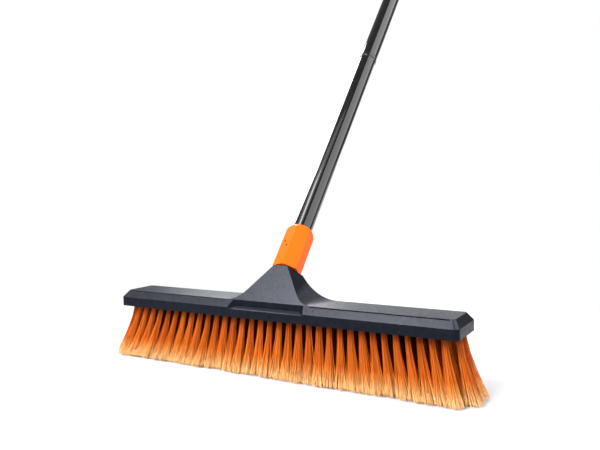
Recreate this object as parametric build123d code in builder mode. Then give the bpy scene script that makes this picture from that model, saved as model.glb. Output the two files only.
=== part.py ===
"""Telescopic push broom. Millimetres, +Z up, X along the block, handle leaning back towards +Y.

The origin is on the floor under the middle of the block, where the bristle tips rest.
"""

import os
from math import cos, radians, sin, sqrt, tan

from build123d import *

# Block and bracket, in the block's own heights above its underside
trim = 69.0  # free length of the bristles, from the floor to the block's underside
block_length, block_width, block_height = 463.0, 61.0, 20.0
top_length, top_width = 451.0, 43.5
skirt_height = 11.5
corner_radius, top_corner_radius = 6.0, 3.5
edge_groove, groove_width = 0.8, 1.3  # depth and width of the groove just under the top's front edge
groove_start, groove_end = 58.0, 220.0
bracket_foot = 45.0  # half width where the bracket's flanks would meet the block's top
bracket_neck_half = 9.5
bracket_front_fillet, bracket_back_fillet = 22.0, 66.0  # the feet sweep wider towards the back
step_half = 49.5  # the step in front of the bracket, at the block's top
step_drop, ledge_fall = 7.7, 2.4
step_flare, step_draft = 1.1, 0.7  # how far its ends open, per mm forwards and per mm up

# Bristle tufts
outer_columns, inner_columns, tuft_pitch = 33, 35, 13.2
row_steps = (-2, -1, 0, 1, 2)
row_pitch = 7.5
root_radius, tip_radius = 3.5, 5.9
hole_radius, hole_depth = 3.6, 11.0
end_fan, side_fan = tan(radians(16)), tan(radians(7))
staple_length, staple_thickness, staple_height = 5.6, 0.5, 1.6

# Handle: distances are measured along its axis, from the block's underside upwards
lean = radians(40)
axis_offset = -21.2  # where the axis crosses the block's underside
tube_radius, tube_wall = 12.5, 0.9
extension_radius, extension_wall = 11.2, 0.8
running_gap = 0.08
seat_gap = 0.05

neck_end = 66.0
neck_front_depth, neck_back_depth = 15.5, 6.0
boss_radius, boss_start, boss_end = 11.6, 30.0, 92.0
boss_bore_radius = 9.8
washer_radius, washer_thickness = 13.4, 1.5
screw_radius, screw_length = 9.5, 25.4  # five turns of broom thread
sleeve_start, sleeve_end = 67.8, 129.6
foot_start, foot_end = 93.0, 124.0
collar_corner = 18.4  # centre to corner of the hexagonal collars
collar_turn = 9.5  # degrees that the tightened collars stand past square to the block
pin_places = ((103.5, 3.2), (96.0, -3.2))  # distance along the handle, and left of the facet's middle
pin_radius, pin_recess = 1.6, 0.9

joint_start, joint_ring_height = 455.0, 5.0
joint_ring_radius = 13.2
plug_length = 30.0
joint_screw_radius, joint_screw_length = 7.8, 18.0
crimp_offset, crimp_radius = 11.0, 1.5

ferrule_start, ferrule_radius, ferrule_height = 974.0, 14.4, 9.5
lock_start, lock_split, lock_end = 984.0, 1080.0, 1117.0
upper_tube_end = 1060.0
nose_radius, nose_end = 14.6, 1096.0
nut_bore_end = 1108.0
collet_end = 1107.0
split_gap = 2.0

extension_start, grip_start, grip_end = 780.0, 1309.0, 1396.0
guide_length, guide_stem = 18.0, 14.0
grip_radius = 12.8
cap_end = 1421.0
cap_radius = 12.4
hang_hole_radius, hang_hole_height = 3.5, 1408.0

# Working values
tube_bore = tube_radius - tube_wall
extension_bore = extension_radius - extension_wall
block_top = trim + block_height
joint_end = joint_start + joint_ring_height
groove_inset = groove_width * sqrt(0.5)
facet_distance = collar_corner * cos(radians(30))
pin_angle = radians(collar_turn - 30)
handle_direction = Vector(0, sin(lean), cos(lean))
handle_base = Vector(0, axis_offset, trim)
handle_axis = Axis(handle_base, handle_direction)
across_handle = Plane(origin=handle_base, x_dir=(1, 0, 0), z_dir=handle_direction)
along_handle = Plane(origin=handle_base, x_dir=(1, 0, 0), z_dir=(0, -cos(lean), sin(lean)))


def section(*points):
    """A closed outline of (radius, distance along the handle), in a plane through the handle's axis."""
    with BuildSketch(along_handle) as outline:
        with BuildLine():
            Polyline(*points, close=True)
        make_face()
    return outline.sketch


def tube_section(outer, inner, start, end):
    """The outline of a plain ring or tube on the handle's axis."""
    return section((inner, start), (outer, start), (outer, end), (inner, end))


def faceted_collar(start, end, foot, shoulder):
    """A hexagonal collar with a conical bevel at each end, given as (end radius, bevel length)."""
    reach = collar_corner + 0.5
    with BuildPart() as collar:
        with BuildSketch(across_handle.offset(start)):
            RegularPolygon(radius=collar_corner, side_count=6, rotation=30 + collar_turn)
        extrude(amount=end - start)
        envelope = section(
            (0, start),
            (foot[0], start),
            (reach, start + foot[1]),
            (reach, end - shoulder[1]),
            (shoulder[0], end),
            (0, end),
        )
        revolve(envelope, axis=handle_axis, mode=Mode.INTERSECT)
    return collar.part


def side_plane(height, angle, distance):
    """A plane facing away from the handle's axis, at a height along it and an angle from the front."""
    outward = Vector(sin(angle), -cos(angle) * cos(lean), cos(angle) * sin(lean))
    centre = handle_base + handle_direction * height + outward * distance
    return Plane(origin=centre, x_dir=handle_direction, z_dir=outward)


def tuft_planes(row):
    """A plane at each root of one row, facing along the tuft. Inner rows are a tuft longer at each end."""
    count = outer_columns if abs(row) == 2 else inner_columns
    y = row * row_pitch
    reach_x = (outer_columns - 1) / 2 * tuft_pitch
    planes = []
    for column in range(count):
        x = (column - (count - 1) / 2) * tuft_pitch
        direction = Vector(x / reach_x * end_fan, y / (2 * row_pitch) * side_fan, -1)
        planes.append(Plane(origin=(x, y, trim), x_dir=(1, 0, -direction.X / direction.Z), z_dir=direction))
    return planes


all_tufts = [plane for row in row_steps for plane in tuft_planes(row)]

# The block: a straight skirt, then slopes up to a smaller flat top
with BuildPart() as block_body:
    with BuildSketch(Plane.XY.offset(trim)):
        RectangleRounded(block_length, block_width, corner_radius)
    extrude(amount=skirt_height)
    with BuildSketch(Plane.XY.offset(trim + skirt_height)):
        RectangleRounded(block_length, block_width, corner_radius)
    with BuildSketch(Plane.XY.offset(block_top)):
        RectangleRounded(top_length, top_width, top_corner_radius)
    loft(ruled=True)

# The bracket: flanks that sweep out of the block's top, wider at the back, cut to a leaning wedge
neck_point = handle_base + handle_direction * neck_end
neck_front = neck_point + Vector(0, -cos(lean), sin(lean)) * neck_front_depth
neck_back = neck_point - Vector(0, -cos(lean), sin(lean)) * neck_back_depth
with BuildPart() as bracket_body:
    rise = neck_front.Z - block_top
    for y, foot_radius in ((-block_width / 2, bracket_front_fillet), (block_width / 2, bracket_back_fillet)):
        with BuildSketch(Plane.XZ.offset(-y)) as flanks:
            with BuildLine():
                Polyline(
                    (-2 * bracket_foot, block_top - skirt_height / 2),
                    (2 * bracket_foot, block_top - skirt_height / 2),
                    (2 * bracket_foot, block_top),
                    (bracket_foot, block_top),
                    (bracket_neck_half, block_top + rise),
                    (-bracket_neck_half, block_top + rise),
                    (-bracket_foot, block_top),
                    (-2 * bracket_foot, block_top),
                    close=True,
                )
            make_face()
            feet = [v for v in flanks.vertices() if abs(abs(v.X) - bracket_foot) < 0.1]
            fillet(feet, radius=foot_radius)
    loft(ruled=True)
    with BuildSketch(Plane.YZ):
        with BuildLine():
            Polyline(
                (-top_width / 2, block_top - skirt_height / 2),
                (-top_width / 2, block_top),
                (neck_front.Y, neck_front.Z),
                (neck_back.Y, neck_back.Z),
                (top_width / 2, block_top),
                (top_width / 2, block_top - skirt_height / 2),
                close=True,
            )
        make_face()
    extrude(amount=block_length / 2, both=True, mode=Mode.INTERSECT)

# The step cut in the front slope below the bracket, with flared ends and a ledge that falls forwards
with BuildPart() as step_cut:
    ledge = block_top - step_drop
    with BuildSketch(Plane.YZ):
        with BuildLine():
            Polyline(
                (-top_width / 2, block_top + 1),
                (-top_width / 2, ledge),
                (-block_width / 2, ledge - ledge_fall),
                (-block_width / 2 - 1, ledge - ledge_fall),
                (-block_width / 2 - 1, block_top + 1),
                close=True,
            )
        make_face()
    extrude(amount=block_length / 2, both=True)
    for height in (ledge - 2 * ledge_fall, block_top + 2):
        back = step_half + (height - block_top) * step_draft
        front = back + (block_width - top_width) / 2 * step_flare + step_flare
        with BuildSketch(Plane.XY.offset(height)):
            with BuildLine():
                Polyline(
                    (-back, -top_width / 2),
                    (-front, -block_width / 2 - 1),
                    (front, -block_width / 2 - 1),
                    (back, -top_width / 2),
                    close=True,
                )
            make_face()
    loft(ruled=True, mode=Mode.INTERSECT)

# The head moulding: block, bracket and threaded socket boss in one piece, with a blind hole per tuft
with BuildPart() as head_block:
    add(block_body.part)
    add(bracket_body.part)
    add(step_cut.part, mode=Mode.SUBTRACT)
    groove_y, groove_z = -top_width / 2 - groove_inset, block_top - groove_inset
    for side in (-1, 1):
        middle = side * (groove_start + groove_end) / 2
        with Locations(Location((middle, groove_y, groove_z), (45, 0, 0))):
            Box(groove_end - groove_start, groove_width, 2 * edge_groove, mode=Mode.SUBTRACT)
    revolve(section((0, boss_start), (boss_radius, boss_start), (boss_radius, boss_end), (0, boss_end)),
            axis=handle_axis)
    socket_floor = foot_start - screw_length - 3
    revolve(section((0, socket_floor), (boss_bore_radius, socket_floor), (boss_bore_radius, boss_end + 1),
                    (0, boss_end + 1)), axis=handle_axis, mode=Mode.SUBTRACT)
    mouth = 2.0
    with Locations(*[plane.offset(mouth).location for plane in all_tufts]):
        Cylinder(hole_radius, hole_depth + mouth, align=(Align.CENTER, Align.CENTER, Align.MAX),
                 mode=Mode.SUBTRACT)

head_block.part.label = "head_block"

# The tufts: a straight root in the hole, then a cone that is trimmed level with the floor
root_depth = hole_depth - staple_height - 0.3
cone_length = 1.1 * trim
tuft_rows = []
for number, row in enumerate(row_steps, start=1):
    with BuildPart() as tuft_row:
        with Locations(*[plane.location for plane in tuft_planes(row)]):
            Cylinder(root_radius, root_depth, align=(Align.CENTER, Align.CENTER, Align.MAX))
            Cone(root_radius, tip_radius, cone_length, align=(Align.CENTER, Align.CENTER, Align.MIN))
        split(bisect_by=Plane.XY, keep=Keep.TOP)
    tuft_row.part.label = f"tuft_row_{number}"
    tuft_rows.append(tuft_row.part)

# The flat wire staples that hold each folded tuft at the bottom of its hole
with BuildPart() as tuft_staples:
    with Locations(*[plane.offset(-root_depth - 0.1).location for plane in all_tufts]):
        Box(staple_length, staple_thickness, staple_height, align=(Align.CENTER, Align.CENTER, Align.MAX))
tuft_staples.part.label = "tuft_staples"

# Washer between the bracket's neck and the sleeve
with BuildPart() as neck_washer:
    revolve(tube_section(washer_radius, boss_radius + 0.3, neck_end + 0.05, neck_end + washer_thickness),
            axis=handle_axis)
neck_washer.part.label = "neck_washer"

# Hexagonal sleeve: covers the socket boss below, and grips the tube above
with BuildPart() as socket_sleeve:
    add(faceted_collar(sleeve_start, sleeve_end, (17.6, 0.9), (14.3, 7.0)))
    sleeve_bore = section(
        (0, sleeve_start - 1),
        (boss_radius + 0.4, sleeve_start - 1),
        (boss_radius + 0.4, foot_start),
        (tube_radius + seat_gap, foot_start),
        (tube_radius + seat_gap, sleeve_end + 1),
        (0, sleeve_end + 1),
    )
    revolve(sleeve_bore, axis=handle_axis, mode=Mode.SUBTRACT)
    for height, shift in pin_places:
        with BuildSketch(side_plane(height, pin_angle, facet_distance + 1)):
            with Locations((0, shift)):
                Circle(pin_radius)
        extrude(amount=-(facet_distance + 1 - tube_radius + 2), mode=Mode.SUBTRACT)
socket_sleeve.part.label = "socket_sleeve"

# Pins through the sleeve's facet into the tube's wall, each sunk a little below the facet
with BuildPart() as sleeve_pins:
    for height, shift in pin_places:
        with BuildSketch(side_plane(height, pin_angle, facet_distance - pin_recess)):
            with Locations((0, shift)):
                Circle(pin_radius - seat_gap)
        extrude(amount=-(facet_distance - pin_recess - tube_radius - seat_gap))
sleeve_pins.part.label = "sleeve_pins"

# Threaded foot: a plug in the tube's end with the broom screw below it
with BuildPart() as handle_foot:
    foot_outline = section(
        (0, foot_start - screw_length),
        (screw_radius - 1.2, foot_start - screw_length),
        (screw_radius, foot_start - screw_length + 1.5),
        (screw_radius, foot_start),
        (tube_radius, foot_start),
        (tube_radius, foot_start + 1),
        (tube_bore - seat_gap, foot_start + 1),
        (tube_bore - seat_gap, foot_end),
        (0, foot_end),
    )
    revolve(foot_outline, axis=handle_axis)
handle_foot.part.label = "handle_foot"

# Lower tube
with BuildPart() as lower_tube:
    revolve(tube_section(tube_radius, tube_bore, foot_start + 1, joint_start - 1), axis=handle_axis)
lower_tube.part.label = "lower_tube"

# Threaded plug in the top of the lower tube, with a thin lip over the tube's end
with BuildPart() as lower_joint_plug:
    plug_outline = section(
        (joint_screw_radius + 0.3, joint_start - plug_length),
        (tube_bore - seat_gap, joint_start - plug_length),
        (tube_bore - seat_gap, joint_start - 1),
        (tube_radius, joint_start - 1),
        (tube_radius, joint_start - 0.1),
        (joint_screw_radius + 0.3, joint_start - 0.1),
    )
    revolve(plug_outline, axis=handle_axis)
lower_joint_plug.part.label = "lower_joint_plug"

# Trim ring between the two tubes, rounded on its outer edges
with BuildPart() as joint_ring:
    revolve(tube_section(joint_ring_radius, joint_screw_radius + 0.4, joint_start, joint_end),
            axis=handle_axis)
    rims = joint_ring.edges().filter_by(GeomType.CIRCLE).group_by(lambda edge: edge.radius)[-1]
    fillet(rims, radius=0.9)
joint_ring.part.label = "joint_ring"

# Screw plug in the bottom of the upper tube
with BuildPart() as upper_joint_plug:
    screw_plug_outline = section(
        (0, joint_start - joint_screw_length),
        (joint_screw_radius - 1, joint_start - joint_screw_length),
        (joint_screw_radius, joint_start - joint_screw_length + 1.2),
        (joint_screw_radius, joint_end + 0.1),
        (tube_radius, joint_end + 0.1),
        (tube_radius, joint_end + 1),
        (tube_bore - seat_gap, joint_end + 1),
        (tube_bore - seat_gap, joint_end + plug_length),
        (0, joint_end + plug_length),
    )
    revolve(screw_plug_outline, axis=handle_axis)
    with BuildSketch(side_plane(joint_end + crimp_offset, radians(-15), tube_radius)):
        Circle(crimp_radius)
    extrude(amount=-5, mode=Mode.SUBTRACT)
upper_joint_plug.part.label = "upper_joint_plug"

# Upper tube, with the hole for the pin that holds it to its plug
with BuildPart() as upper_tube:
    revolve(tube_section(tube_radius, tube_bore, joint_end + 1, upper_tube_end), axis=handle_axis)
    with BuildSketch(side_plane(joint_end + crimp_offset, radians(-15), tube_radius + 1)):
        Circle(crimp_radius)
    extrude(amount=-5, mode=Mode.SUBTRACT)
upper_tube.part.label = "upper_tube"

# Domed pin in that hole
with BuildPart() as joint_pin:
    with BuildSketch(side_plane(joint_end + crimp_offset, radians(-15), tube_radius + 0.4)):
        Circle(crimp_radius - seat_gap)
    extrude(amount=-5)
    outward = side_plane(joint_end + crimp_offset, radians(-15), tube_radius).z_dir
    fillet(joint_pin.faces().sort_by(Axis(handle_base, outward))[-1].edges(), radius=0.5)
joint_pin.part.label = "joint_pin"

# Black ferrule under the twist lock
with BuildPart() as lock_ferrule:
    ferrule_outline = section(
        (tube_radius + seat_gap, ferrule_start),
        (tube_radius + 0.7, ferrule_start),
        (ferrule_radius, ferrule_start + ferrule_height - 3),
        (ferrule_radius, ferrule_start + ferrule_height),
        (tube_radius + seat_gap, ferrule_start + ferrule_height),
    )
    revolve(ferrule_outline, axis=handle_axis)
lock_ferrule.part.label = "lock_ferrule"

# Twist lock body: grips the outer tube, and carries the threaded nose inside the nut
with BuildPart() as lock_body:
    add(faceted_collar(lock_start, lock_split - 3, (14.4, 7.0), (16.9, 2.4)))
    revolve(tube_section(nose_radius, extension_radius + 0.4, lock_split - 4, nose_end), axis=handle_axis)
    lock_bore = section(
        (0, lock_start - 1),
        (tube_radius + seat_gap, lock_start - 1),
        (tube_radius + seat_gap, upper_tube_end + 0.1),
        (extension_radius + 0.4, upper_tube_end + 0.1),
        (extension_radius + 0.4, lock_end),
        (0, lock_end),
    )
    revolve(lock_bore, axis=handle_axis, mode=Mode.SUBTRACT)
lock_body.part.label = "lock_body"

# Dark sealing ring in the gap between body and nut
with BuildPart() as lock_seal:
    revolve(tube_section(collar_corner - 2.6, nose_radius + 0.1, lock_split - 2.9, lock_split - 0.3),
            axis=handle_axis)
lock_seal.part.label = "lock_seal"

# Twist lock nut: turns on the nose and squeezes the collet with its cone
with BuildPart() as lock_nut:
    add(faceted_collar(lock_split, lock_end, (16.9, 2.4), (12.9, 8.0)))
    nut_bore = section(
        (0, lock_split - 1),
        (nose_radius + 0.3, lock_split - 1),
        (nose_radius + 0.3, nose_end + 0.5),
        (extension_radius + 1.0, nut_bore_end),
        (extension_radius + 0.4, nut_bore_end),
        (extension_radius + 0.4, lock_end + 1),
        (0, lock_end + 1),
    )
    revolve(nut_bore, axis=handle_axis, mode=Mode.SUBTRACT)
lock_nut.part.label = "lock_nut"

# Split collet: a tapered ring with one slot, gripping the extension tube
with BuildPart() as lock_collet:
    collet_outline = section(
        (extension_radius + running_gap, nose_end + 0.1),
        (nose_radius - 0.6, nose_end + 0.1),
        (nose_radius - 0.6, nose_end + 1.0),
        (extension_radius + 0.8, collet_end),
        (extension_radius + running_gap, collet_end),
    )
    revolve(collet_outline, axis=handle_axis)
    with BuildSketch(across_handle.offset(nose_end - 1)):
        with Locations((0, extension_radius)):
            Rectangle(split_gap, 3 * (nose_radius - extension_radius))
    extrude(amount=collet_end - nose_end + 2, mode=Mode.SUBTRACT)
lock_collet.part.label = "lock_collet"

# Extension tube, sliding inside the upper tube
with BuildPart() as extension_tube:
    revolve(tube_section(extension_radius, extension_bore, extension_start, grip_end), axis=handle_axis)
extension_tube.part.label = "extension_tube"

# Guide plug on the extension tube's hidden end, running in the upper tube
with BuildPart() as extension_guide:
    guide_outline = section(
        (0, extension_start - guide_length),
        (tube_bore - running_gap - 0.8, extension_start - guide_length),
        (tube_bore - running_gap, extension_start - guide_length + 1.5),
        (tube_bore - running_gap, extension_start - 0.05),
        (extension_bore - seat_gap, extension_start - 0.05),
        (extension_bore - seat_gap, extension_start + guide_stem),
        (0, extension_start + guide_stem),
    )
    revolve(guide_outline, axis=handle_axis)
extension_guide.part.label = "extension_guide"

# Grip over the top of the extension tube
with BuildPart() as hand_grip:
    grip_outline = section(
        (extension_radius + seat_gap, grip_start),
        (extension_radius + 0.9, grip_start),
        (grip_radius, grip_start + 3),
        (grip_radius, grip_end - 0.05),
        (extension_radius + seat_gap, grip_end - 0.05),
    )
    revolve(grip_outline, axis=handle_axis)
hand_grip.part.label = "hand_grip"

# Rounded end cap, its stem in the tube and a hole through it to hang the broom by
with BuildPart() as end_cap:
    with BuildSketch(along_handle):
        with BuildLine():
            bottom_line = Polyline(
                (0, grip_end - 16),
                (extension_bore - seat_gap, grip_end - 16),
                (extension_bore - seat_gap, grip_end + 0.05),
                (cap_radius, grip_end + 0.05),
                (cap_radius, cap_end - cap_radius),
            )
            RadiusArc(bottom_line @ 1, (0, cap_end), -cap_radius)
            Line((0, cap_end), (0, grip_end - 16))
        make_face()
    revolve(axis=handle_axis)
    with BuildSketch(side_plane(hang_hole_height, 0, cap_radius + 1)):
        Circle(hang_hole_radius)
    extrude(amount=-2 * (cap_radius + 1), mode=Mode.SUBTRACT)
end_cap.part.label = "end_cap"

pieces = [
    head_block.part,
    *tuft_rows,
    tuft_staples.part,
    neck_washer.part,
    socket_sleeve.part,
    sleeve_pins.part,
    handle_foot.part,
    lower_tube.part,
    lower_joint_plug.part,
    joint_ring.part,
    upper_joint_plug.part,
    upper_tube.part,
    joint_pin.part,
    lock_ferrule.part,
    lock_body.part,
    lock_seal.part,
    lock_nut.part,
    lock_collet.part,
    extension_tube.part,
    extension_guide.part,
    hand_grip.part,
    end_cap.part,
]

os.makedirs("parts", exist_ok=True)
for piece in pieces:
    export_step(piece, f"parts/{piece.label}.step")
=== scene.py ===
"""The push broom's looks: procedural materials, bristle filaments, studio, camera. Metres, CAD frame."""

import math

import bpy
import numpy as np
from mathutils import Matrix, Vector


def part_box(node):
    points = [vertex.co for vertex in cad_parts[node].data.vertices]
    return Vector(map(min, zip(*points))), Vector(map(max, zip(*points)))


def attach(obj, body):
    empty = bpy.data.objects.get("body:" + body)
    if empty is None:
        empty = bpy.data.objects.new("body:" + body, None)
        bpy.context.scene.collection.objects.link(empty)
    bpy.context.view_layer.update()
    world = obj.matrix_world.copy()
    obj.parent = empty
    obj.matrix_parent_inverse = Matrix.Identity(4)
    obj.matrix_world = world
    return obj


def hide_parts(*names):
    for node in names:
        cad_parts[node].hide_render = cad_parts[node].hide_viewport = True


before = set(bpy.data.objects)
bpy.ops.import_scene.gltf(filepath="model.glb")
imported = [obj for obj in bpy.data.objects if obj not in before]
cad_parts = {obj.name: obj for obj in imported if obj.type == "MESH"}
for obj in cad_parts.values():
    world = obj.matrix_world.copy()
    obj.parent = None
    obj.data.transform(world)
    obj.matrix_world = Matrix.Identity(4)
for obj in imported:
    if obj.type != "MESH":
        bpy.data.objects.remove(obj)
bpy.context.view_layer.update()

MM = 0.001

# ---------------------------------------------------------------- materials


class Shader:
    """A Principled material, with short ways to add the nodes used here."""

    def __init__(self, name, colour, roughness, **sockets):
        self.material = bpy.data.materials.new(name)
        self.material.use_nodes = True
        self.tree = self.material.node_tree
        self.surface = self.tree.nodes["Principled BSDF"]
        self.surface.inputs["Base Color"].default_value = (*colour, 1)
        self.surface.inputs["Roughness"].default_value = roughness
        for socket, value in sockets.items():
            self.surface.inputs[socket.replace("_", " ")].default_value = value
        self.place = self.node("ShaderNodeTexCoord").outputs["Object"]

    def node(self, kind, **settings):
        made = self.tree.nodes.new(kind)
        for key, value in settings.items():
            setattr(made, key, value)
        return made

    def join(self, source, target):
        self.tree.links.new(source, target)

    def noise(self, scale, detail=3.0, stretch=(1, 1, 1)):
        """A noise value over the object's own coordinates, its cells stretched along an axis if asked."""
        mapping = self.node("ShaderNodeMapping")
        mapping.inputs["Scale"].default_value = stretch
        self.join(self.place, mapping.inputs["Vector"])
        made = self.node("ShaderNodeTexNoise")
        made.inputs["Scale"].default_value = scale
        made.inputs["Detail"].default_value = detail
        self.join(mapping.outputs["Vector"], made.inputs["Vector"])
        return made.outputs["Fac"]

    def cells(self, scale):
        """Distance to the nearest cell centre, for a pebbled grain."""
        made = self.node("ShaderNodeTexVoronoi", feature="SMOOTH_F1")
        made.inputs["Scale"].default_value = scale
        self.join(self.place, made.inputs["Vector"])
        return made.outputs["Distance"]

    def ramp(self, value, *stops):
        """A colour ramp over value, its stops given as (place, colour)."""
        made = self.node("ShaderNodeValToRGB")
        elements = made.color_ramp.elements
        while len(elements) < len(stops):
            elements.new(0.5)
        for element, (place, colour) in zip(elements, stops):
            element.position = place
            element.color = (*colour, 1)
        self.join(value, made.inputs["Fac"])
        return made.outputs["Color"]

    def remap(self, value, low, high, start=0.0, end=1.0):
        made = self.node("ShaderNodeMapRange")
        made.inputs["From Min"].default_value = start
        made.inputs["From Max"].default_value = end
        made.inputs["To Min"].default_value = low
        made.inputs["To Max"].default_value = high
        self.join(value, made.inputs["Value"])
        return made.outputs["Result"]

    def times(self, first, second):
        made = self.node("ShaderNodeMath", operation="MULTIPLY")
        self.join(first, made.inputs[0])
        self.join(second, made.inputs[1])
        return made.outputs["Value"]

    def band(self, value, low, high, edge):
        """1 where value is between low and high, falling to 0 over the edge."""
        rise = self.remap(value, 0, 1, low - edge, low)
        fall = self.remap(value, 1, 0, high, high + edge)
        return self.times(rise, fall)

    def bump(self, height, depth, strength=1.0, edge=0.0):
        """Bump from a height, over edges softened to a radius."""
        made = self.node("ShaderNodeBump")
        made.inputs["Distance"].default_value = depth
        made.inputs["Strength"].default_value = strength
        self.join(height, made.inputs["Height"])
        if edge:
            self.join(self.soft_edge(edge), made.inputs["Normal"])
        self.join(made.outputs["Normal"], self.surface.inputs["Normal"])

    def soft_edge(self, radius):
        made = self.node("ShaderNodeBevel", samples=6)
        made.inputs["Radius"].default_value = radius
        return made.outputs["Normal"]

    def colour(self, output):
        self.join(output, self.surface.inputs["Base Color"])

    def rough(self, output):
        self.join(output, self.surface.inputs["Roughness"])


def upward_facing(s):
    """How far a face looks up, over object-space normals, less for the faces at the block's two ends. It sets
    the block's painted light and shade.
    """
    size = s.node("ShaderNodeVectorMath", operation="ABSOLUTE")
    s.join(s.node("ShaderNodeTexCoord").outputs["Normal"], size.inputs[0])
    facing = s.node("ShaderNodeVectorMath", operation="DOT_PRODUCT")
    facing.inputs[1].default_value = (-0.35, 0, 1)
    s.join(size.outputs["Vector"], facing.inputs[0])
    return facing.outputs["Value"]


def groove_shade_mask(s):
    """1 in the groove under the top's front edge, right half, where shade is painted into the colour. Y + Z is
    the same from its mouth to its floor.
    """
    spot = s.node("ShaderNodeSeparateXYZ")
    s.join(s.place, spot.inputs[0])
    down_slope = s.node("ShaderNodeVectorMath", operation="DOT_PRODUCT")
    down_slope.inputs[1].default_value = (0, 1, 1)
    s.join(s.place, down_slope.inputs[0])
    along = s.band(spot.outputs["X"], 58 * MM, 220 * MM, 0.2 * MM)
    across = s.band(down_slope.outputs["Value"], 64.5 * MM, 66.3 * MM, 0.1 * MM)
    above = s.remap(spot.outputs["Z"], 0, 1, 86.4 * MM, 86.6 * MM)
    return s.times(s.times(along, across), above)


def blend(s, factor, first, second):
    """A mix of two colours."""
    made = s.node("ShaderNodeMix", data_type="RGBA")
    s.join(factor, made.inputs["Factor"])
    s.join(first, made.inputs["A"])
    s.join(second, made.inputs["B"])
    return made.outputs["Result"]


def grained_plastic(name):
    """Charcoal moulding with painted light and shade: darker side faces and ends, lighter faces that look
    upwards, a painted sheen on those upward faces, and painted shade in the groove.
    """
    s = Shader(name, (0.012, 0.013, 0.019), 0.36, Specular_Tint=(0.84, 0.88, 1.0, 1))
    mottle = s.noise(160, 6)
    # painted light and shade: a darker copy of the colour for faces that look sideways, a lighter one for faces
    # that look up
    shaded_walls = s.ramp(mottle, (0.35, (0.005, 0.006, 0.010)), (0.7, (0.009, 0.010, 0.015)))
    lit_tops = s.ramp(mottle, (0.35, (0.013, 0.014, 0.020)), (0.7, (0.021, 0.022, 0.031)))
    # painted shade: a still darker copy of the colour for the groove
    groove_painted_shade = s.ramp(mottle, (0.35, (0.003, 0.003, 0.005)), (0.7, (0.006, 0.006, 0.009)))
    upward, groove = upward_facing(s), groove_shade_mask(s)
    skin = blend(s, s.remap(upward, 0, 1, 0.40, 0.56), shaded_walls, lit_tops)
    s.colour(blend(s, groove, skin, groove_painted_shade))
    # painted sheen: more specular on faces that look up, and less in the groove as painted shade
    sheen = s.remap(upward, 0.08, 0.45, 0.40, 0.56)
    s.join(s.times(sheen, s.remap(groove, 1.0, 0.1)), s.surface.inputs["Specular IOR Level"])
    s.rough(s.remap(s.noise(240, 4), 0.27, 0.4, 0.3, 0.7))
    s.bump(s.noise(400, 3, (1, 1.7, 1.7)), 0.4 * MM, 0.5, 0.4 * MM)
    return s.material


def satin_orange(name):
    """Satin moulded orange with faint flow marks and softened edges."""
    s = Shader(name, (0.88, 0.13, 0.006), 0.4, Specular_IOR_Level=0.07)
    s.colour(s.ramp(s.noise(25, 4), (0.3, (0.86, 0.122, 0.004)), (0.7, (0.93, 0.142, 0.006))))
    s.rough(s.remap(s.noise(300, 4), 0.34, 0.46, 0.3, 0.7))
    s.bump(s.noise(900, 2), 0.05 * MM, 0.4, 0.7 * MM)
    return s.material


def coated_tube(name):
    """Glossy black powder coat: faint orange peel, tiny pits and handling haze."""
    s = Shader(name, (0.008, 0.008, 0.010), 0.14, Coat_Weight=0.6, Coat_Roughness=0.06)
    s.colour(s.ramp(s.noise(180, 6), (0.4, (0.0015, 0.0015, 0.002)), (0.75, (0.004, 0.004, 0.005))))
    s.rough(s.remap(s.noise(45, 5), 0.11, 0.18, 0.3, 0.7))
    s.bump(s.noise(500, 2), 0.004 * MM, 0.25)
    return s.material


def plain_black(name, roughness, grain=1200):
    """Small black mouldings, washers and seals."""
    s = Shader(name, (0.012, 0.012, 0.014), roughness)
    s.colour(s.ramp(s.noise(90, 4), (0.35, (0.009, 0.009, 0.011)), (0.7, (0.02, 0.02, 0.023))))
    s.bump(s.noise(grain, 2), 0.06 * MM, 0.5, 0.4 * MM)
    return s.material


def blackened_steel(name):
    s = Shader(name, (0.02, 0.02, 0.022), 0.4, Specular_IOR_Level=0.3)
    s.colour(s.ramp(s.noise(400, 4), (0.4, (0.006, 0.006, 0.007)), (0.7, (0.016, 0.016, 0.018))))
    s.rough(s.remap(s.noise(600, 3), 0.28, 0.45, 0.3, 0.7))
    return s.material


def drawn_wire(name):
    s = Shader(name, (0.55, 0.55, 0.56), 0.3, Metallic=1.0)
    s.rough(s.remap(s.noise(900, 3), 0.22, 0.4, 0.3, 0.7))
    return s.material


def pebbled_grip(name):
    """Black grip: matt skin with a fine pebbled grain."""
    s = Shader(name, (0.013, 0.013, 0.015), 0.55)
    s.colour(s.ramp(s.noise(120, 5), (0.35, (0.010, 0.010, 0.012)), (0.7, (0.022, 0.022, 0.025))))
    s.bump(s.cells(900), 0.12 * MM, 0.6, 0.5 * MM)
    return s.material


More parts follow.
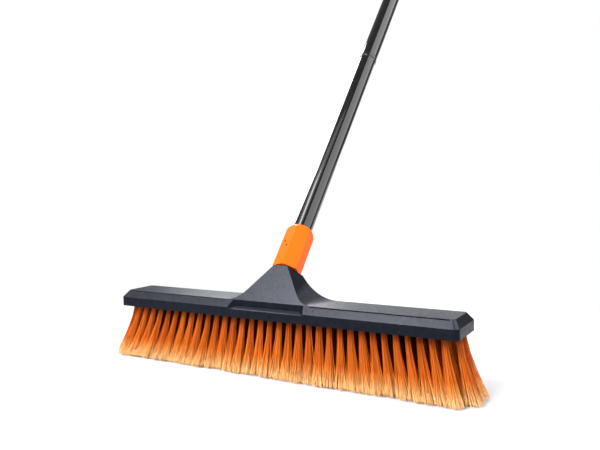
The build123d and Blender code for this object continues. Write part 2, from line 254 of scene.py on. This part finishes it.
def filament_material(name):
    """Orange filament, pale at the tip, with painted shade: darker at the root, and darker still at both ends
    inside the brush.
    """
    s = Shader(name, (0.7, 0.15, 0.02), 0.45, Specular_IOR_Level=0.25)
    along = s.node("ShaderNodeAttribute", attribute_name="along").outputs["Fac"]
    tone = s.node("ShaderNodeAttribute", attribute_name="tone").outputs["Fac"]
    inner = s.node("ShaderNodeAttribute", attribute_name="inner").outputs["Fac"]
    # painted shade: the colour darkens towards the root, where the block shades it
    outer_colour_root_shaded = s.ramp(
        along,
        (0.0, (0.18, 0.022, 0.003)),
        (0.14, (0.66, 0.12, 0.007)),
        (0.65, (0.82, 0.185, 0.014)),
        (0.8, (0.93, 0.37, 0.08)),
        (0.9, (0.95, 0.54, 0.21)),
    )
    # painted shade: filaments inside the brush get a darker copy of the colour, darkest at the root and over
    # the last millimetres of the tip
    inside = s.ramp(
        along,
        (0.0, (0.03, 0.004, 0.001)),
        (0.45, (0.16, 0.024, 0.003)),
        (0.8, (0.62, 0.14, 0.012)),
        (0.92, (0.80, 0.36, 0.12)),
        (0.985, (0.045, 0.011, 0.003)),
    )
    shift = s.node("ShaderNodeHueSaturation")
    s.join(blend(s, inner, outer_colour_root_shaded, inside), shift.inputs["Color"])
    s.join(s.remap(tone, 0.49, 0.51), shift.inputs["Hue"])
    s.join(s.remap(tone, 0.72, 1.22), shift.inputs["Value"])
    s.colour(shift.outputs["Color"])
    return s.material


def paint(material, *nodes):
    """Puts one material on each of these CAD nodes."""
    for name in nodes:
        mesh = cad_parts[name].data
        mesh.materials.clear()
        mesh.materials.append(material)


paint(grained_plastic("block_plastic"), "head_block")
paint(satin_orange("orange_plastic"), "socket_sleeve", "lock_body", "lock_nut")
paint(coated_tube("tube_coating"), "lower_tube", "upper_tube", "extension_tube", "joint_ring")
paint(plain_black("black_moulding", 0.45), "handle_foot", "lower_joint_plug", "upper_joint_plug",
      "extension_guide", "lock_collet", "lock_ferrule")
paint(plain_black("black_rubber", 0.7, 2000), "neck_washer", "lock_seal")
paint(blackened_steel("blackened_steel"), "sleeve_pins", "joint_pin")
paint(drawn_wire("drawn_wire"), "tuft_staples")
paint(pebbled_grip("grip_plastic"), "hand_grip", "end_cap")

# ---------------------------------------------------------------- bristles

root_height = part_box("head_block")[0].z
outer_columns, inner_columns, column_pitch, row_pitch = 33, 35, 13.2 * MM, 7.5 * MM
end_fan, side_fan = math.tan(math.radians(16)), math.tan(math.radians(8.5))
root_spread, tip_spread, flare = 2.9 * MM, 9.3 * MM, 1.8  # the flare is the power of the place along
fan_curve = 1.15
bent_in = 0.235  # the most that tufts lean outwards at the right end, where use has bent them in
wear = 2.0 * MM  # how much shorter the outermost filaments are worn
filaments_per_tuft = 96
filament_radius, splinter_radius = 0.28 * MM, 0.15 * MM
splinters = 2
rings = np.array([-0.05, 0.3, 0.6, 0.84, 1.0])  # places along a filament, root to tip
splinter_rings = np.array([0.8, 0.92, 1.0])
dice = np.random.default_rng(7)


def tuft_roots(row):
    """Root places and leans of one row of tufts. The three inner rows are a tuft longer at each end."""
    count = outer_columns if abs(row) == 2 else inner_columns
    reach = (outer_columns - 1) / 2 * column_pitch
    x = (np.arange(count) - (count - 1) / 2) * column_pitch
    y = np.full(count, row * row_pitch)
    roots = np.stack([x, y, np.full(count, root_height)], 1)
    leans = np.stack([np.minimum(x / reach * end_fan, bent_in), y / (2 * row_pitch) * side_fan], 1)
    return roots, leans


def inside(row, column, count, spot):
    """For each filament of a tuft, 1 if it is inside the brush, and 0 if it is on one of its outer faces. It
    sets where shade is painted and which filaments are shorter.
    """
    from_end = min(column, count - 1 - column)
    if abs(row) == 2:
        return (spot[:, 1] * row < -0.3) * min(1.0, from_end / 3)
    return np.full(len(spot), min(1.0, max(0, from_end - 1) / 3))


def filament_lines(row):
    """Centre lines of all filaments in a row, as (filament, ring, xyz), and how far inside each one is."""
    n = filaments_per_tuft
    turn = np.arange(n) * math.pi * (3 - math.sqrt(5))
    reach = np.sqrt((np.arange(n) + 0.5) / n)
    disc = np.stack([np.cos(turn), np.sin(turn)], 1) * reach[:, None]
    lines, depths = [], []
    roots, leans = tuft_roots(row)
    for column, (root, lean) in enumerate(zip(roots, leans)):
        spin = dice.uniform(0, 2 * math.pi)
        c, s = math.cos(spin), math.sin(spin)
        spot = disc @ np.array([[c, s], [-s, c]]) + dice.normal(0, 0.05, (n, 2))
        depth = inside(row, column, len(roots), spot)
        length = root_height - np.abs(dice.normal(0, 0.7, n)) * MM - wear * (1 - depth)
        tuft_bend = dice.normal(0, 0.9, 2) * MM
        stray = dice.normal(0, 0.9, (n, 2)) * MM
        stray[dice.random(n) < 0.04] *= 2.6
        bow = dice.normal(0, 0.5, (n, 2)) * MM
        t = rings[None, :, None]
        spread = root_spread + (tip_spread - root_spread) * np.clip(t, 0, 1) ** flare
        across = spot[:, None, :] * spread
        across = across + (tuft_bend + stray[:, None, :]) * np.clip(t, 0, 1) ** 2
        across = across + bow[:, None, :] * np.sin(np.clip(t, 0, 1) * math.pi)
        across = across + lean * root_height * np.sign(t) * np.abs(t) ** fan_curve
        down = t[..., 0] * length[:, None]
        lines.append(np.dstack([root[0] + across[..., 0], root[1] + across[..., 1], root[2] - down]))
        depths.append(depth)
    return np.concatenate(lines), np.concatenate(depths)


def splinter_lines(lines):
    """Fine split ends, leaving each filament near its tip."""
    ends, before = lines[:, -1], lines[:, -2]
    made = []
    for _ in range(splinters):
        sway = dice.normal(0, 0.85, (len(lines), 2)) * MM
        rise = dice.uniform(0, 2.2, len(lines)) * MM
        part = (splinter_rings - rings[-2]) / (rings[-1] - rings[-2])
        path = before[:, None] + (ends - before)[:, None] * part[None, :, None]
        out = np.clip(part, 0, 1)[None, :] ** 1.5
        path[..., 0] += sway[:, :1] * out
        path[..., 1] += sway[:, 1:] * out
        path[..., 2] += rise[:, None] * out
        made.append(path)
    return np.concatenate(made)


def tubes(lines, radii):
    """Three-sided tubes along lines, as vertices and faces, with a closed tip."""
    count, steps = lines.shape[:2]
    corner = np.arange(3) * 2 * math.pi / 3
    around = np.stack([np.cos(corner), np.sin(corner), np.zeros(3)], 1)
    verts = lines[:, :, None, :] + around[None, None] * radii[None, :, None, None]
    first = (np.arange(count) * steps * 3)[:, None, None]
    ring = (np.arange(steps - 1) * 3)[None, :, None]
    side = np.arange(3)[None, None]
    after = (side + 1) % 3
    quads = np.stack([first + ring + side, first + ring + after, first + ring + 3 + after,
                      first + ring + 3 + side], -1).reshape(-1, 4)
    tips = (first[:, 0] + (steps - 1) * 3 + np.arange(3)[None])[:, ::-1]
    return verts.reshape(-1, 3), quads, tips


def per_vertex(values):
    """One value per filament, repeated for every vertex of the filament and then of its split ends."""
    return np.concatenate([np.repeat(values, len(rings) * 3),
                           np.repeat(np.tile(values, splinters), len(splinter_rings) * 3)])


def bristle_row(number, row, material):
    """One row of tufts as a single mesh of filaments and their split ends."""
    lines, depth = filament_lines(row)
    ends = splinter_lines(lines)
    fill = np.linspace(1.0, 0.85, len(rings)) * filament_radius
    fine = np.array([1.0, 0.9, 0.5]) * splinter_radius
    verts, quads, tips = tubes(lines, fill)
    more_verts, more_quads, more_tips = tubes(ends, fine)
    low = np.concatenate([verts, more_verts])
    low[:, 2] = np.maximum(low[:, 2], 0.1 * MM)
    start = len(verts)
    mesh = bpy.data.meshes.new(f"bristles_{number}")
    faces = [*quads.tolist(), *tips.tolist(), *(more_quads + start).tolist(), *(more_tips + start).tolist()]
    mesh.from_pydata(low.tolist(), [], faces)
    mesh.shade_smooth()
    tone = dice.beta(2.2, 2.2, len(lines))
    places = [np.tile(np.repeat(rings, 3), len(lines)), np.tile(np.repeat(splinter_rings, 3), len(ends))]
    # the inner attribute carries the painted shade inside the brush
    shades = {"along": np.concatenate(places), "tone": per_vertex(tone), "inner": per_vertex(depth)}
    for name, values in shades.items():
        mesh.attributes.new(name, "FLOAT", "POINT").data.foreach_set("value", values.astype(np.float32))
    mesh.materials.append(material)
    piece = bpy.data.objects.new(f"bristles_{number}", mesh)
    bpy.context.scene.collection.objects.link(piece)
    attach(piece, "head")
    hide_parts(f"tuft_row_{number}")
    return piece


filament = filament_material("filament")
for number, row in enumerate((-2, -1, 0, 1, 2), start=1):
    bristle_row(number, row, filament)

# ---------------------------------------------------------------- studio


def softbox(name, place, target, width, height, radiance, along=(0, 0, 1)):
    """A rectangular area light at place, facing target, its height running along the given direction."""
    light = bpy.data.lights.new(name, "AREA")
    light.shape = "RECTANGLE"
    light.size, light.size_y = width, height
    light.energy = radiance * math.pi * width * height
    lamp = bpy.data.objects.new(name, light)
    lamp.visible_camera = False
    z = (Vector(place) - Vector(target)).normalized()
    x = Vector(along).cross(z).normalized()
    turn = Matrix((x, z.cross(x), z)).transposed()
    lamp.matrix_world = Matrix.Translation(place) @ turn.to_4x4()
    bpy.context.scene.collection.objects.link(lamp)


def white_room():
    """A white surround: full white to the eye, and a dimmer dome that only fills the shadows."""
    world = bpy.data.worlds.new("room")
    world.use_nodes = True
    tree = world.node_tree
    tree.nodes.clear()
    fill = tree.nodes.new("ShaderNodeBackground")
    fill.inputs["Color"].default_value = (0.95, 0.97, 1.0, 1)
    fill.inputs["Strength"].default_value = 0.2
    seen = tree.nodes.new("ShaderNodeBackground")
    seen.inputs["Color"].default_value = (1, 1, 1, 1)
    rays = tree.nodes.new("ShaderNodeLightPath")
    mix = tree.nodes.new("ShaderNodeMixShader")
    out = tree.nodes.new("ShaderNodeOutputWorld")
    tree.links.new(rays.outputs["Is Camera Ray"], mix.inputs["Fac"])
    tree.links.new(fill.outputs["Background"], mix.inputs[1])
    tree.links.new(seen.outputs["Background"], mix.inputs[2])
    tree.links.new(mix.outputs["Shader"], out.inputs["Surface"])
    bpy.context.scene.world = world


def pale_floor():
    """A wide pale floor at the bristle tips, fading to the plain white of the room away from the object."""
    mesh = bpy.data.meshes.new("floor")
    r = 12.0  # half the floor's width
    mesh.from_pydata([(-r, -r, 0), (r, -r, 0), (r, r, 0), (-r, r, 0)], [], [(0, 1, 2, 3)])
    s = Shader("floor_paint", (0.75, 0.75, 0.76), 0.8, Specular_IOR_Level=0.1)
    distance = s.node("ShaderNodeVectorMath", operation="LENGTH")
    s.join(s.place, distance.inputs[0])
    fade = s.remap(distance.outputs["Value"], 0.0, 1.0, 0.36, 0.62)
    glow = s.node("ShaderNodeEmission")
    mix = s.node("ShaderNodeMixShader")
    s.join(fade, mix.inputs["Fac"])
    s.join(s.surface.outputs["BSDF"], mix.inputs[1])
    s.join(glow.outputs["Emission"], mix.inputs[2])
    s.join(mix.outputs["Shader"], s.tree.nodes["Material Output"].inputs["Surface"])
    mesh.materials.append(s.material)
    floor = bpy.data.objects.new("floor", mesh)
    bpy.context.scene.collection.objects.link(floor)


white_room()
pale_floor()
handle_direction = (0, 0.643, 0.766)
front_to_back = (0, 1, 0)  # for the lamps that point straight down, as the default direction can't turn those
softbox("key", (-0.45, -1.25, 1.35), (0, 0, 0.1), 1.0, 0.8, 20)
softbox("overhead", (-0.55, -0.57, 1.55), (-0.55, -0.57, 0), 1.4, 1.15, 1.1, front_to_back)
softbox("glint", (-0.36, -0.31, 1.4), (-0.36, -0.31, 0), 0.36, 0.3, 8, front_to_back)
softbox("tube_strip", (0.675, 0.68, 1.18), (-0.293, 0.875, 1.016), 1.37, 2.2, 2.2, handle_direction)
softbox("low_back", (-0.5, 2.05, 0.4), (0, 0, 0.1), 1.4, 0.5, 1.05)
softbox("ledge_light", (-0.27, 0.33, 0.4), (0, 0, 0.08), 0.3, 0.3, 8)
softbox("side", (1.6, -0.7, 0.6), (0, 0, 0.1), 0.8, 0.8, 1.5)

# ---------------------------------------------------------------- camera

camera_place = Vector((0.4123, -0.6369, 0.2228))
camera_yaw, camera_pitch, camera_roll = math.radians(30.69), math.radians(3.33), math.radians(-1.05)


def look():
    """The camera's axes: right, up and back, from yaw round the object, pitch above it and roll."""
    back = Vector((
        math.sin(camera_yaw) * math.cos(camera_pitch),
        -math.cos(camera_yaw) * math.cos(camera_pitch),
        math.sin(camera_pitch),
    ))
    right = Vector((math.cos(camera_yaw), math.sin(camera_yaw), 0))
    up = back.cross(right)
    c, s = math.cos(camera_roll), math.sin(camera_roll)
    axes = Matrix((c * right + s * up, c * up - s * right, back)).transposed()
    return axes


camera_data = bpy.data.cameras.new("camera")
camera_data.sensor_width = 36
camera_data.lens = 37.9
camera = bpy.data.objects.new("camera", camera_data)
camera.matrix_world = Matrix.Translation(camera_place) @ look().to_4x4()
bpy.context.scene.collection.objects.link(camera)
bpy.context.scene.camera = camera
bpy.context.scene.view_settings.view_transform = "Standard"
